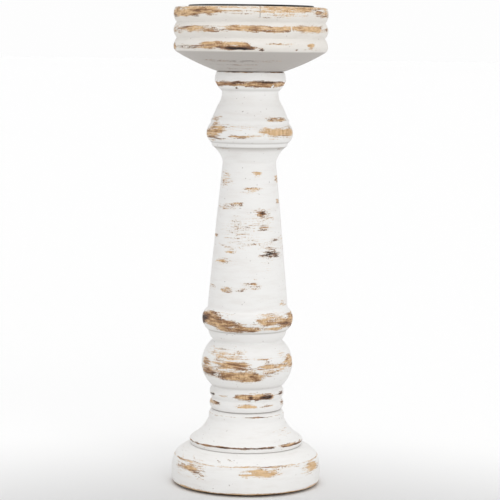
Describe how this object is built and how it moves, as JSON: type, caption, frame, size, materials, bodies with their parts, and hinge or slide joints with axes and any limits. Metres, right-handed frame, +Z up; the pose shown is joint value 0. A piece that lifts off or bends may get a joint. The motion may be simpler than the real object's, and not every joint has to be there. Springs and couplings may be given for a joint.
{
  "type": "candlestick",
  "caption": "Turned wooden candlestick with a beaded cup, tapered stem and stepped round base in a worn white finish, with a loose black steel candle pan.",
  "frame": {"origin": "on the axis, at the underside of the felt disc that it stands on", "axes": "+Z up along the axis of turning"},
  "size_m": [0.1002, 0.1002, 0.3128],
  "materials": {
    "white_wood": "chalky white paint over tan wood, worn through in patches and along the edges",
    "black_steel": "satin black",
    "zinc_steel": "bright zinc plating",
    "brown_felt": "short felt"
  },
  "bodies": {
    "candlestick": {"felt_disc": "brown_felt", "plinth": "white_wood", "base_moulding": "white_wood", "base_screw": "zinc_steel", "base_washer": "zinc_steel", "stem": "white_wood", "cup": "white_wood", "cup_screw": "zinc_steel"},
    "pan": {"candle_pan": "black_steel"}
  },
  "joints": [
    {"name": "pan_lift", "type": "slide", "parent": "candlestick", "child": "pan", "axis": [0, 0, 1], "range_m": [0, 0.03]}
  ]
}
